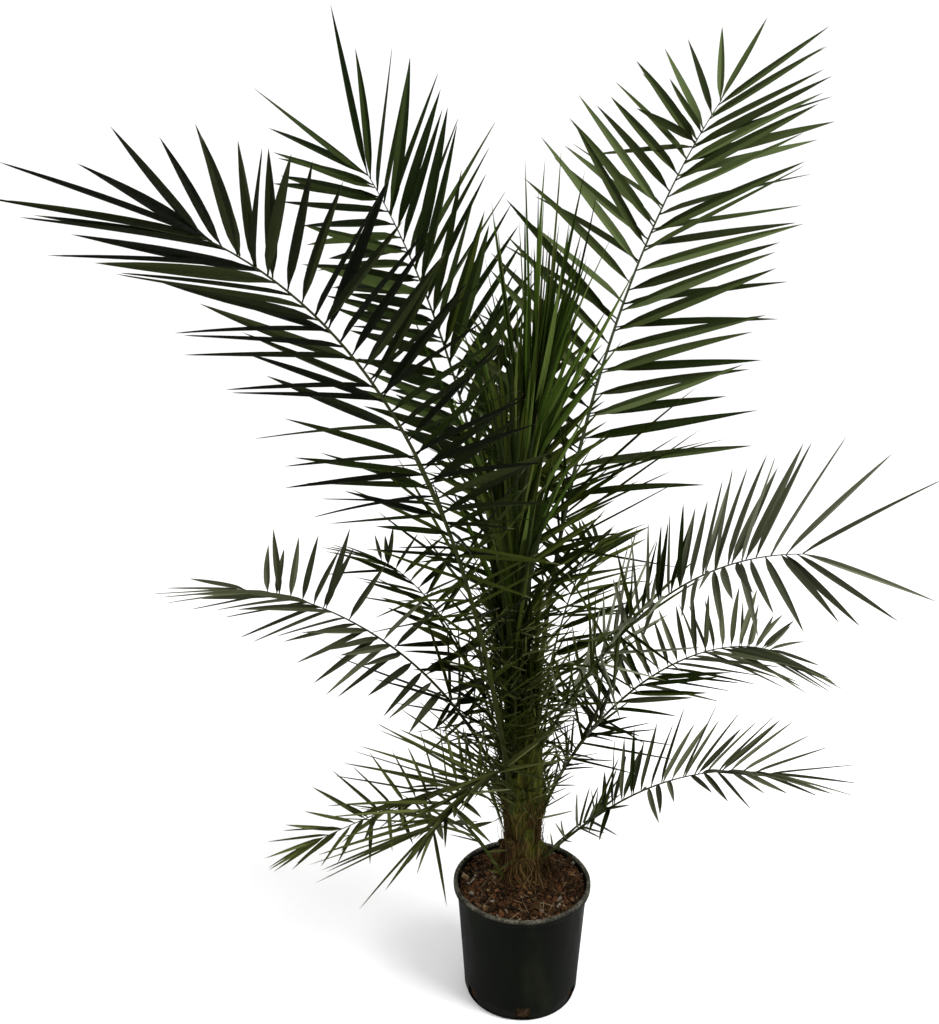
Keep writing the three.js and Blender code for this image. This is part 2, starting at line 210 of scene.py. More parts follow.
# ---------------------------------------------------------------- mesh building
class Mesh:
    """Gathers rings of points into closed tubes and makes one object of them."""

    def __init__(self):
        self.points, self.faces, self.slots, self.uvs, self.count = [], [], [], [], 0

    def tubes(self, grid, slot, uv=None):
        """grid is (tubes, rings, sides, 3), closed round the sides and capped.

        slot is (tubes, rings - 1[, sides]), and uv is (tubes, rings, sides, 2).
        """
        k, r, s, _ = grid.shape
        index = np.arange(k * r * s).reshape(k, r, s) + self.count
        a, b = index[:, :-1], index[:, 1:]
        quads = np.stack([a, np.roll(a, -1, 2), np.roll(b, -1, 2), b], -1)
        slot = np.asarray(slot)
        slots = np.broadcast_to(slot if slot.ndim == 3 else slot[..., None], (k, r - 1, s))
        self.faces += quads.reshape(-1, 4).tolist()
        self.slots += slots.reshape(-1).tolist()
        self.faces += index[:, 0, ::-1].tolist() + index[:, -1].tolist()
        self.slots += slots[:, 0, 0].tolist() + slots[:, -1, 0].tolist()
        self.points.append(grid.reshape(-1, 3))
        self.uvs.append(np.zeros((k * r * s, 2)) if uv is None else uv.reshape(-1, 2))
        self.count += k * r * s

    def polygons(self, points, faces, slots):
        self.points.append(np.asarray(points, float).reshape(-1, 3))
        self.faces += [[i + self.count for i in f] for f in faces]
        self.slots += list(slots)
        self.uvs.append(np.zeros((len(self.points[-1]), 2)))
        self.count += len(self.points[-1])

    def build(self, name, materials, crease=40, replaces=()):
        mesh = bpy.data.meshes.new(name)
        mesh.from_pydata(np.vstack(self.points).tolist(), [], self.faces)
        for m in materials:
            mesh.materials.append(m)
        mesh.polygons.foreach_set("material_index", np.array(self.slots, np.int32))
        corner = np.empty(len(mesh.loops), np.int32)
        mesh.loops.foreach_get("vertex_index", corner)
        layer = mesh.uv_layers.new(name="grain")
        layer.uv.foreach_set("vector", np.vstack(self.uvs)[corner].astype(np.float32).ravel())
        mesh.update()
        mesh.shade_smooth()
        mesh.set_sharp_from_angle(angle=math.radians(crease))
        piece = bpy.data.objects.new(name, mesh)
        bpy.context.scene.collection.objects.link(piece)
        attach(piece, "root")
        if replaces:
            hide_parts(*replaces)
        return piece


def lathe(profile, sides):
    """Rings of points for a profile of (radius, height) rows, as (rows, sides, 3)."""
    t = circle(sides)
    return np.array([np.stack([r * np.cos(t), r * np.sin(t), 0 * t + z], -1) for r, z in profile])


# ---------------------------------------------------------------- materials
class Material:
    """A Principled material, with shorthands for the nodes that feed its shader."""

    def __init__(self, name, color, roughness, specular=0.06):
        self.data = bpy.data.materials.new(name)
        self.data.use_nodes = True
        self.shader = self.data.node_tree.nodes["Principled BSDF"].inputs
        self.shader["Base Color"].default_value = (*color, 1)
        self.shader["Roughness"].default_value = roughness
        self.shader["Specular IOR Level"].default_value = specular
        self.place = self.node("TexCoord").outputs["Object"]

    def feed(self, socket, value):
        if isinstance(value, bpy.types.NodeSocket):
            self.data.node_tree.links.new(value, socket)
        else:
            socket.default_value = value

    def node(self, kind, inputs=None, **settings):
        """A new node, its inputs linked to sockets or set to values."""
        n = self.data.node_tree.nodes.new("ShaderNode" + kind)
        for key, value in settings.items():
            setattr(n, key, value)
        for key, value in (inputs or {}).items():
            self.feed(n.inputs[key], value)
        return n

    def stretched(self, height):
        """The place with its height counting for less, so that a pattern on it runs up and down."""
        inputs = {"Vector": self.place, "Scale": (1, 1, height)}
        return self.node("Mapping", inputs).outputs["Vector"]

    def parts(self):
        return self.node("SeparateXYZ", {"Vector": self.place}).outputs

    def noise(self, scale, detail=4.0, place=None):
        inputs = {"Vector": place or self.place, "Scale": scale, "Detail": detail}
        return self.node("TexNoise", inputs).outputs["Fac"]

    def remap(self, value, start, end, low, high):
        """value, from start to end, mapped to low..high."""
        inputs = {"Value": value, "From Min": start, "From Max": end, "To Min": low, "To Max": high}
        return self.node("MapRange", inputs).outputs["Result"]

    def maths(self, operation, *values):
        return self.node("Math", dict(enumerate(values)), operation=operation).outputs[0]

    def mixed(self, share, one, other):
        """The colour one where share is 0, other where it is 1."""
        n = self.node("Mix", {"Factor": share, "A": one, "B": other}, data_type="RGBA")
        return n.outputs["Result"]

    def ramp(self, value, *stops):
        """Colours by value, from stops of (value, colour)."""
        n = self.node("ValToRGB", {"Fac": value})
        elements = n.color_ramp.elements
        while len(elements) < len(stops):
            elements.new(0.5)
        for element, (at, color) in zip(elements, stops):
            element.position, element.color = at, (*color, 1)
        return n.outputs["Color"]

    def bump(self, height, strength, distance):
        n = self.node("Bump", {"Height": height, "Strength": strength, "Distance": distance})
        self.feed(self.shader["Normal"], n.outputs["Normal"])

    def uneven(self, value, low, high):
        """Roughness from low to high over most of a noise's values."""
        self.feed(self.shader["Roughness"], self.remap(value, 0.3, 0.7, low, high))


def leaf_material(name, color, roughness=0.5):
    """Leathery leaf: fine veins along the leaflet and an uneven sheen."""
    m = Material(name, color, roughness, 0.03)
    grain = m.node("UVMap", uv_map="grain").outputs["UV"]
    veins = m.node("TexWave", {"Vector": grain, "Scale": 9.0, "Distortion": 0.4}).outputs["Fac"]
    m.bump(veins, 0.25, 0.0004)
    m.uneven(m.noise(60.0), roughness - 0.08, roughness + 0.14)
    return m.data


def plain_material(name, color, roughness=0.6, grain=180.0, strength=0.3, distance=0.0006):
    m = Material(name, color, roughness, 0.03)
    value = m.noise(grain)
    m.bump(value, strength, distance)
    m.uneven(value, roughness - 0.1, roughness + 0.1)
    return m.data


# Leaflet colours by tone: three greens each, from the shaded to the sunlit.
TONES = {
    # dark: greens of a frond seen from its underside, painted near-black as shade
    "dark": ((0.0016, 0.0024, 0.0004), (0.0042, 0.006, 0.001), (0.012, 0.016, 0.0036)),
    "deep": ((0.005, 0.0088, 0.0012), (0.014, 0.022, 0.0042), (0.034, 0.050, 0.012)),
    "mid": ((0.012, 0.0165, 0.004), (0.027, 0.037, 0.010), (0.054, 0.072, 0.025)),
    "silver": ((0.040, 0.044, 0.024), (0.067, 0.074, 0.043), (0.113, 0.121, 0.078)),
    "grey": ((0.019, 0.022, 0.010), (0.037, 0.042, 0.020), (0.072, 0.079, 0.043)),
    "olive": ((0.020, 0.022, 0.005), (0.040, 0.046, 0.011), (0.077, 0.087, 0.026)),
    # inner: its two darker greens also stand as painted shade on leaflets near a frond's foot
    "inner": ((0.006, 0.010, 0.0008), (0.020, 0.028, 0.003), (0.042, 0.054, 0.010)),
    "fresh": ((0.010, 0.019, 0.0015), (0.028, 0.050, 0.005), (0.066, 0.098, 0.020)),
}
LEAVES = {
    tone: [leaf_material(f"leaf_{tone}_{i}", color) for i, color in enumerate(colors)]
    for tone, colors in TONES.items()
}
DRY_TIP = leaf_material("leaf_dry_tip", (0.040, 0.036, 0.020), 0.6)
SPINE_GREEN = leaf_material("spine_green", (0.018, 0.025, 0.003))
SPINE_TIP = leaf_material("spine_tip", (0.060, 0.060, 0.025))
RIBS = {
    "rib_olive": plain_material("rib_olive", (0.017, 0.022, 0.006), 0.45),
    "rib_pale": plain_material("rib_pale", (0.024, 0.030, 0.014), 0.42),
}
PETIOLE = plain_material("petiole_green", (0.019, 0.024, 0.0045), 0.45)

# ---------------------------------------------------------------- leaflets
# A blade's places along its length, with the share of its width and the fold of its halves there.
LEAF_ALONG = np.array([0, 0.03, 0.08, 0.16, 0.28, 0.42, 0.56, 0.68, 0.79, 0.88, 0.94, 0.98, 1.0])
LEAF_WIDTH = np.array([0.26, 0.3, 0.62, 0.92, 1, 0.96, 0.84, 0.68, 0.5, 0.31, 0.18, 0.07, 0.015])
LEAF_FOLD = np.radians([62, 60, 46, 36, 30, 26, 23, 21, 20, 20, 22, 26, 30])
LEAF_SHAPE = (LEAF_ALONG, LEAF_WIDTH, LEAF_FOLD)
SPINE_SHAPE = (np.array([0, 0.25, 0.6, 0.88, 1.0]), np.array([0.8, 1.0, 0.75, 0.35, 0.03]),
               np.radians([60, 60, 60, 60, 60]))
SPINE_RINGS = len(SPINE_SHAPE[0])
BLADE_ACROSS = np.array([-1, -0.5, 0, 0.5, 1, 0.5, 0, -0.5])  # a ring's points across the blade
RIGHT_HALF = np.array([0, 0, 1, 1, 1, 1, 0, 0], bool)  # a ring's sides that lie right of the fold
GRAIN_ACROSS, GRAIN_ALONG = 100, 4
SHEET = 0.0005  # thickness of a leaflet
DISH = 0.06  # how far each half of a blade sags, against its width
KEEL = 1.6  # thickness under the fold, against the sheet's

SHORT_SPAN = 0.03  # the leaflets begin this share of the rachis below the bare part's end
SHORT_FADE = 0.08  # and reach their full size over this share
LAST_LEAFLET = 0.997
STAGGER = 0.35  # the left side's leaflets stand this share of a group above the right side's
THIN_UP_TO = 0.7  # the thinner side keeps all its leaflets beyond this share of the rachis
SINGLE_FROM = 0.97  # no pairs beyond this share of it
PAIR_SLANTS, PAIR_LIFTS = ((-7, -2), (1, 6)), ((6, 18), (-16, -4))  # of a pair's two leaflets
FIRST_LENGTH, FIRST_WIDTH = 0.45, 0.55  # the lowest leaflets' share of the full size
END_WIDTH = 0.75  # the last leaflets' share of the full width
LENGTH_SPREAD, WIDTH_SPREAD = (0.88, 1.03), (0.85, 1.1)  # of a leaflet, against the usual
CALM_RATE, CALM_LEAST = 6, 0.25  # angles vary less over the last sixth, down to a quarter
INNER_SPREAD = 0.7  # radians out of the blade, as an inner frond's leaflets stand all round
SAG, SWAY = 0.045, 0.025  # most bend downwards and usual bend sideways, against the length
LEAN, CURL = 14, 16  # degrees
TONE_SHARES = (0.3, 0.45, 0.25)  # of a frond's three greens
SHADED_SHARE = 0.7  # of leaflets, whose lower half is a tone darker
FOOT_SHADE_SHARE, FOOT_SHADE_FALL = 0.8, 2.5  # share of leaflets at the lowest painted in the inner greens as shade near the foot, and its fall with u
LONG_DRY_SHARE = 0.3  # of leaflets, whose dry point is longer
DRY_SLOT, SPINE_SLOT, POINT_SLOT, FOOT_SHADE_SLOT = 3, 4, 5, 6  # after a frond's own three greens
SPINE_FROM, SPINE_SPACING = 0.03, 0.0075
SPINE_ANGLE, SPINE_LIFT = (58, 18), (10, 38)  # mean and spread
SPINE_LENGTH, SPINE_WIDTH = (0.026, 0.035), (0.0046, 0.0060)  # at the foot, and added at the top
SPINE_LENGTH_SPREAD, SPINE_WIDTH_SPREAD = (0.75, 1.6), (0.8, 1.2)
LEAFY_SPINE_SHARE = 0.4  # of spines, in the greens of the leaflets


def blades(base, aim, up, length, width, shape, bow, lean=None, curl=None):
    """Closed folded blades as (blades, rings, 8, 3), with their grain as uv.

    bow bends each towards its tip. lean turns it about its own line, and curl adds to that towards
    the tip.
    """
    along, wide, fold = shape
    side = unit(np.cross(up, aim))
    k, r = len(base), len(along)
    s = along[None, :, None]
    centre = base[:, None] + aim[:, None] * (length[:, None, None] * s)
    centre = centre + bow[:, None] * (length[:, None, None] * s**2)
    axis = np.broadcast_to(aim[:, None], (k, r, 3))
    side = np.broadcast_to(side[:, None], (k, r, 3))
    if lean is not None:
        side = turned(side, axis, lean[:, None] + curl[:, None] * along[None])
    top = np.cross(axis, side)
    half = 0.5 * width[:, None] * wide[None]
    c, n = np.cos(fold)[None, :, None], np.sin(fold)[None, :, None]
    right, left = side * c + top * n, top * n - side * c
    thick = np.minimum(SHEET, half * 0.5)[..., None]
    down_r, down_l = np.cross(right, axis), np.cross(axis, left)
    h = half[..., None]
    middle_l, middle_r = (centre + d * h * 0.5 - top * h * DISH for d in (left, right))
    grid = np.stack([
        centre + left * h, middle_l, centre, middle_r, centre + right * h,
        middle_r + down_r * thick, centre - top * thick * KEEL, middle_l + down_l * thick,
    ], 2)
    grain = np.broadcast_to(s * length[:, None, None] * GRAIN_ALONG, (k, r, len(BLADE_ACROSS)))
    return grid, np.stack([BLADE_ACROSS * h * GRAIN_ACROSS, grain], -1)


def sides_of(u, side, frond):
    """Where a leaflet leaves the rachis, and the rachis frame there."""
    along, left, up = frond.frame(u)
    half_w, half_d = frond.half(u)
    base = frond.point(u) + left * (side * half_w * 0.75)[:, None] + up * (half_d * 0.35)[:, None]
    return base, along, left, up


def aimed(along, left, up, side, a, b):
    """Directions at angle a to the rachis on a side, and b out of the blade."""
    ca, sa, cb, sb = (f(x)[:, None] for x in (a, b) for f in (np.cos, np.sin))
    return unit(along * ca + left * (side[:, None] * sa * cb) + up * (sa * sb))


def leaflet_places(frond, rng):
    """Each leaflet's place on the rachis, side, slant from the usual angle and lift out of the vee.

    The leaflets in groups come first, then the pressed ones, the strays and those at the tip.
    """
    row = frond.row
    thin_side, kept, _, _ = row["below"]
    close_side, close_from, close_kept, _, _, close_pairs = row["closing"]
    start = frond.bare - SHORT_SPAN
    groups = int(frond.length * (1 - start) / frond.spacing)
    places = []
    for g in range(groups + 1):
        for side in (-1, 1):
            step = g + (STAGGER if side > 0 else 0)
            u = start + (LAST_LEAFLET - start) * step / (groups + STAGGER)
            if side == thin_side and g in row["absent"]:
                continue
            if side == thin_side and u < THIN_UP_TO and rng.random() > kept:
                continue
            closing = close_side in (0, side) and u > close_from
            if closing and rng.random() > close_kept:
                continue
            pairs = frond.pair * (close_pairs if closing else 1)
            double = rng.random() < pairs and u < SINGLE_FROM
            for j in range(2 if double else 1):
                apart = j * rng.uniform(0.1, 0.3) * frond.spacing / frond.length
                slants = [rng.uniform(*span) for span in (PAIR_SLANTS if double else ((-3, 3),))]
                lifts = [rng.uniform(*span) for span in (PAIR_LIFTS if double else ((-8, 8),))]
                places.append((min(LAST_LEAFLET, u + apart), side, slants[j], lifts[j]))
    for _ in range(row["pressed"]):
        u, side = rng.uniform(0.1, 0.75), rng.choice((-1, 1))
        slant = rng.uniform(3, 14) - float(frond.angle(u))
        places.append((u, side, slant, rng.uniform(-25, 25)))
    for u, side, angle, lift, _ in row["strays"]:
        places.append((u, side, angle - float(frond.angle(u)), lift - frond.vee))
    for angle in row["ends"]:
        places.append((1, 1 if angle >= 0 else -1, abs(angle) - float(frond.angle(1)), -frond.vee))
    return np.array(places, float).T


def leaflets(frond, rng):
    """All leaflets and spines of a frond in one piece."""
    row = frond.row
    low_side, _, sweep, stretch = row["below"]
    close_side, close_from, _, close_sweep, close_length, _ = row["closing"]
    u, side, slant, lift = leaflet_places(frond, rng)
    count, last = len(u), u == 1
    first_end = count - len(row["ends"])
    stray = np.zeros(count, bool)
    stray[first_end - len(row["strays"]):first_end] = True
    fade = np.where(last | stray, 1, np.clip((1 - u) * CALM_RATE, CALM_LEAST, 1))
    slant = slant + np.where(last, 0, rng.normal(0, row["loose"], count))
    closing = ((side == close_side) | (close_side == 0)) & (u > close_from) & ~last
    swept = np.where(closing, close_sweep, np.where((side == low_side) & ~last, sweep, 1))
    a = np.radians((frond.angle(u) + slant * fade) * swept)
    b = np.radians(frond.vee + lift * fade)
    if frond.name.startswith("inner"):
        b = b + rng.normal(0, INNER_SPREAD, count)
    base, along, left, up = sides_of(u, side, frond)
    aim = aimed(along, left, up, side, a, b)
    grown = np.clip((u - frond.bare + SHORT_SPAN) / SHORT_FADE, 0, 1)
    length = frond.reach(u) * np.where(last, row["tips"], rng.uniform(*LENGTH_SPREAD, count))
    length = length * np.where(side == low_side, stretch, 1) * np.where(closing, close_length, 1)
    length *= FIRST_LENGTH + (1 - FIRST_LENGTH) * grown
    length[stray] *= [row[-1] for row in row["strays"]]
    width = frond.width * (FIRST_WIDTH + (1 - FIRST_WIDTH) * grown)
    width *= rng.uniform(*WIDTH_SPREAD, count)
    width *= np.clip(END_WIDTH + (1 - u) * 4, END_WIDTH, 1)
    bow = np.zeros_like(aim)
    bow[:, 2] = -rng.uniform(0.0, SAG, count) * np.clip(1 - aim[:, 2] ** 2, 0, 1)
    bow += unit(np.cross(aim, up)) * rng.normal(0, SWAY, count)[:, None]
    lean = np.radians(rng.normal(0, LEAN, count) + np.where(lift > 0, -LEAN, LEAN)) * side
    curl = np.radians(rng.normal(0, CURL, count))
    mesh = Mesh()
    grid, uv = blades(base, aim, up, length, width, LEAF_SHAPE, bow, lean, curl)
    mesh.tubes(grid, leaflet_slots(frond, u, aim, up, rng), uv)
    add_spines(mesh, frond, rng)
    looks = [*LEAVES[frond.tone], DRY_TIP, SPINE_GREEN, SPINE_TIP, *LEAVES["inner"][:2]]
    endings = ("_blade_lower", "_blade_upper") if row["blades"] > 1 else ("_blade",)
    mesh.build(frond.name + "_leaflets", looks,
               replaces=[frond.name + ending for ending in endings])


def leaflet_slots(frond, u, aim, up, rng):
    """Which of the frond's materials each side of each stretch of a leaflet takes."""
    count = len(u)
    tone = rng.choice(3, count, p=TONE_SHARES)
    shaded = np.where(rng.random(count) < SHADED_SHARE, np.maximum(tone - 1, 0), tone)
    # Near the foot, leaflets are painted in the inner greens as shade inside the crown.
    foot_shaded = rng.random(count) < FOOT_SHADE_SHARE - FOOT_SHADE_FALL * (u - frond.bare)
    foot_shaded &= frond.tone != "olive"
    tone, shaded = np.where(foot_shaded, FOOT_SHADE_SLOT + (tone > 1), tone), np.where(foot_shaded, FOOT_SHADE_SLOT, shaded)
    right_down = (np.cross(up, aim)[:, 2] > 0)[:, None]
    halves = np.where(RIGHT_HALF[None] == right_down, shaded[:, None], tone[:, None])
    slots = np.repeat(halves[:, None], len(LEAF_ALONG) - 1, 1)
    slots[:, -1] = DRY_SLOT
    slots[rng.random(count) < LONG_DRY_SHARE, -2] = DRY_SLOT
    return slots


def add_spines(mesh, frond, rng):
    """Stiff thin leaflets that shorten to spines down the stalk."""
    count = int(frond.length * (frond.bare - SPINE_FROM) / SPINE_SPACING * frond.row["spiny"])
    u = np.sort(rng.uniform(SPINE_FROM, frond.bare + 0.04, count))
    side = np.where(np.arange(count) % 2 == 0, 1.0, -1.0)
    base, along, left, up = sides_of(u, side, frond)
    grown = np.clip((u - SPINE_FROM) / (frond.bare - SPINE_FROM), 0, 1)
    a, b = (np.radians(rng.normal(*angle, count)) for angle in (SPINE_ANGLE, SPINE_LIFT))
    aim = aimed(along, left, up, side, a, b)
    longer = SPINE_LENGTH[1] + frond.row["thicket"] * frond.longest
    length = (SPINE_LENGTH[0] + longer * grown**1.2) * rng.uniform(*SPINE_LENGTH_SPREAD, count)
    length *= 0.5 + 0.5 * min(1.0, frond.length / 1.1)
    width = (SPINE_WIDTH[0] + SPINE_WIDTH[1] * grown) * rng.uniform(*SPINE_WIDTH_SPREAD, count)
    grid, uv = blades(base, aim, up, length, width, SPINE_SHAPE, rng.normal(0, 0.03, (count, 3)))
    slots = np.full((count, SPINE_RINGS - 1), SPINE_SLOT)
    slots[rng.random(count) < LEAFY_SPINE_SHARE] = rng.choice(3)
    slots[:, -1] = POINT_SLOT
    mesh.tubes(grid, slots, uv)


def rachis(frond):
    """The frond's stalk and rib as one tapering limb, flat above and keeled below."""
    mesh = Mesh()
    u = np.concatenate([np.linspace(-0.03 / frond.length, 0.1, 8)[:-1], np.linspace(0.1, 1.0, 44)])
    _, left, up = frond.frame(np.clip(u, 0, 1))
    half_w, half_d = (h[:, None, None] for h in frond.half(u))
    t = circle(12)
    y = np.where(np.sin(t) > 0, np.sin(t) * 0.62, np.sin(t) * 1.15)
    grid = frond.point(u)[:, None] + left[:, None] * (np.cos(t)[None, :, None] * half_w)
    grid = grid + up[:, None] * (y[None, :, None] * half_d)
    slots = np.where(u[:-1] < frond.bare * 0.8, 1, 0)
    mesh.tubes(grid[None], slots[None])
    mesh.build(frond.name + "_rib", [RIBS[frond.rib], PETIOLE], crease=60,
               replaces=[frond.name + "_stalk"])


fronds = [Frond(row) for row in FRONDS]
for i, f in enumerate(fronds):
    leaflets(f, np.random.default_rng(SEED + i))
    rachis(f)

# ---------------------------------------------------------------- stem
SOIL_ROWS = np.array([  # radius, height
    (0, 0.271), (0.042, 0.270), (0.054, 0.262), (0.074, 0.242), (0.098, 0.2315), (0.1195, 0.2275),
])
MOUND_RADIUS = SOIL_ROWS[1, 0]  # the mound falls off from here
STEM_PROFILE = np.array([  # height, radius
    (0.222, 0.041), (0.250, 0.038), (0.268, 0.032), (0.290, 0.027), (0.320, 0.024), (0.360, 0.024),
    (0.400, 0.028), (0.450, 0.033), (0.500, 0.032), (0.550, 0.025), (0.600, 0.015), (0.630, 0.005),
])
STEM_FOOT, STEM_TIP = STEM_PROFILE[0, 0], STEM_PROFILE[-1, 0]
OLD_BASES = (  # direction and top of each cut leaf base
    (200, 0.272), (262, 0.30), (318, 0.325), (20, 0.285),
    (95, 0.31), (150, 0.295), (285, 0.36), (230, 0.335),
)
STRAP_RADIUS = 0.045  # of the curve that leaf bases and sheaths are bent to
COLUMN_LEAN = -0.03  # the column of packed leaf bases leans this far along x
LEAN_FROM, LEAN_SPAN = 0.45, 0.4  # heights over which it does
UPRIGHT = np.array([0, 0, 1.0])


def soil_height(r):
    return np.interp(r, SOIL_ROWS[:, 0], SOIL_ROWS[:, 1])


def stem_radius(z):
    return np.interp(z, STEM_PROFILE[:, 0], STEM_PROFILE[:, 1])


def column_lean(z):
    """How far the column's axis is from the stem's at height z."""
    return COLUMN_LEAN * np.clip((z - LEAN_FROM) / LEAN_SPAN, 0, 1)


def bark_material():
    """Streaks of brown fibre low down, giving way to green leaf bases above and to the right."""
    m = Material("stem_fibre", (0.06, 0.05, 0.02), 0.8)
    streak = m.noise(220.0, 5.0, m.stretched(0.12))
    parts = m.parts()
    high = m.maths("MULTIPLY_ADD", parts["Z"], 5.5, -1.45)
    greener = m.maths("ADD", m.maths("MULTIPLY_ADD", parts["X"], 7.0, high), m.noise(22.0, 3.0))
    brown = m.ramp(streak, (0.3, (0.007, 0.004, 0.001)), (0.5, (0.024, 0.013, 0.003)),
                   (0.7, (0.066, 0.040, 0.012)))
    green = m.ramp(streak, (0.3, (0.010, 0.012, 0.001)), (0.5, (0.024, 0.028, 0.002)),
                   (0.7, (0.062, 0.066, 0.009)))
    m.feed(m.shader["Base Color"], m.mixed(m.remap(greener, 0.75, 1.05, 0, 1), brown, green))
    m.bump(streak, 0.7, 0.0015)
    m.uneven(streak, 0.65, 0.95)
    return m.data


def strap(path, out, across, half, thick):
    """Rings along path that bulge by thick and reach half across, wrapped round the stem."""
    t = circle(10)
    x, y = np.cos(t), np.sin(t)
    wrap = (x**2)[None, :, None] * (half**2)[:, None, None] / (2 * STRAP_RADIUS)
    grid = path[:, None] + across[:, None] * (x[None, :, None] * half[:, None, None])
    return grid + out[:, None] * (y[None, :, None] * thick[:, None, None] - wrap)


def make_stem(rng):
    """The core of the stem, with a sheath under each frond and old cut leaf bases lower down."""
    mesh = Mesh()
    rings, sides = 60, 48
    heights = np.linspace(STEM_FOOT, STEM_TIP, rings)
    t = circle(sides)
    ripple = 1 + 0.05 * np.sin(9 * t[None] + 14 * heights[:, None])
    r = stem_radius(heights)[:, None] * (ripple + rng.normal(0, 0.012, (rings, sides)))
    core = np.stack([r * np.cos(t), r * np.sin(t), np.repeat(heights[:, None], sides, 1)], -1)
    mesh.tubes(core[None], np.zeros((1, rings - 1), int))
    bases = [(f.azimuth, f.foot, False) for f in fronds]
    bases += [(azimuth, top, True) for azimuth, top in OLD_BASES]
    s = np.linspace(0, 1, 16)
    for azimuth, top, cut in bases:
        low = max(0.235, top - rng.uniform(0.11, 0.17))
        z = low + (top + (0.012 if cut else 0.03) - low) * s
        a = np.radians(azimuth + rng.normal(0, 4) * (1 - s))
        flare = (0.013 if cut else 0.003) * np.clip((s - 0.7) / 0.3, 0, 1) ** 2
        radius = stem_radius(np.minimum(z, top)) + 0.002 + 0.004 * s + flare
        out, across = around(a)
        path = out * radius[:, None] + UPRIGHT * z[:, None]
        half = np.interp(s, [0, 0.15, 0.6, 1], [0.006, 0.023, 0.020, 0.0085])
        thick = np.interp(s, [0, 0.3, 1], [0.002, 0.0055, 0.0065])
        mesh.tubes(strap(path, out, across, half, thick)[None], np.zeros((1, len(s) - 1), int))
    mesh.build("stem_bases", [bark_material()], crease=50, replaces=["stem"])


def strands(mesh, paths, radius, slots):
    """Thin tubes along paths (tubes, rings, 3)."""
    rings = paths.shape[1]
    along = unit(np.gradient(paths, axis=1))
    away = np.where(np.abs(along[..., 2:]) > 0.9, np.array([1.0, 0, 0]), UPRIGHT)
    one = unit(np.cross(along, away))[:, :, None]
    two = np.cross(along, one[:, :, 0])[:, :, None]
    t = circle(4)[None, None, :, None]
    taper = np.interp(np.linspace(0, 1, rings), [0, 0.15, 0.8, 1], [0.6, 1, 0.8, 0.2])
    size = radius[:, None, None, None] * taper[None, :, None, None]
    grid = paths[:, :, None] + (one * np.cos(t) + two * np.sin(t)) * size
    mesh.tubes(grid, np.repeat(slots[:, None], rings - 1, 1))


def make_fibres(rng):
    """Loose brown threads of the old sheaths, some of them spilt from the foot over the mound."""
    count, rings = 620, 7
    s = np.linspace(0, 1, rings)[None]
    a0 = rng.uniform(0, 2 * np.pi, count)[:, None]
    low = rng.uniform(0.236, 0.40, count)[:, None]
    span = rng.uniform(0.03, 0.13, count)[:, None]
    z = np.minimum(low + span * s, 0.5)
    a = a0 + rng.normal(0, 0.35, count)[:, None] * s + 0.12 * np.sin(6 * s + a0 * 5)
    loose = rng.exponential(0.0035, count)[:, None] * np.sin(np.pi * s) + 0.0035
    flare = np.where(rng.random(count) < 0.12, 0.018, 0.0)[:, None] * s**2
    r = stem_radius(z) + 0.003 + loose + flare
    spilt = (rng.random(count) < 0.35)[:, None]
    spill = 0.036 + rng.uniform(0.012, 0.045, count)[:, None] * s
    r = np.where(spilt, spill, r)
    ground = soil_height(np.maximum(spill, MOUND_RADIUS))
    z = np.where(spilt, ground + 0.003 + 0.03 * (1 - s) ** 2, z)
    mesh = Mesh()
    paths = around(a)[0] * r[..., None] + UPRIGHT * z[..., None]
    radius = rng.uniform(0.0003, 0.0008, count)
    strands(mesh, paths, radius, rng.choice(3, count, p=(0.5, 0.3, 0.2)))
    browns = ((0.018, 0.010, 0.003), (0.040, 0.023, 0.007), (0.090, 0.058, 0.022))
    looks = [plain_material(f"fibre_{i}", color, 0.85) for i, color in enumerate(browns)]
    mesh.build("stem_fibres", looks)


def make_stubble(rng):
    """Short stiff spines that stand off the leaf bases all round the stem and the column."""
    count = 520
    z = rng.uniform(0.38, 0.80, count)
    out, across = around(rng.uniform(0, 2 * np.pi, count))
    base = out * (np.maximum(stem_radius(z), 0.030) + 0.002)[:, None]
    base[:, 0] += column_lean(z)
    base[:, 2] = z
    outwards, sideways = rng.uniform(0.15, 0.9, count)[:, None], rng.normal(0, 0.7, count)[:, None]
    aim = unit(out * outwards + across * sideways + UPRIGHT * rng.uniform(0.2, 1.0, count)[:, None])
    length = rng.uniform(0.025, 0.085, count)
    bow = rng.normal(0, 0.04, (count, 3))
    width = rng.uniform(0.0040, 0.0065, count)
    grid, uv = blades(base, aim, out + across * 0.1, length, width, SPINE_SHAPE, bow)
    # The olive's middle and sunlit greens are painted light: they brighten stubble that the fronds
    # above shade.
    looks = [SPINE_GREEN, *LEAVES["olive"][1:], SPINE_TIP]
    slots = np.repeat(rng.choice(4, count, p=(0.3, 0.35, 0.25, 0.1))[:, None], SPINE_RINGS - 1, 1)
    slots[:, -1] = looks.index(SPINE_TIP)
    mesh = Mesh()
    mesh.tubes(grid, slots, uv)
    mesh.build("stem_spines", looks)


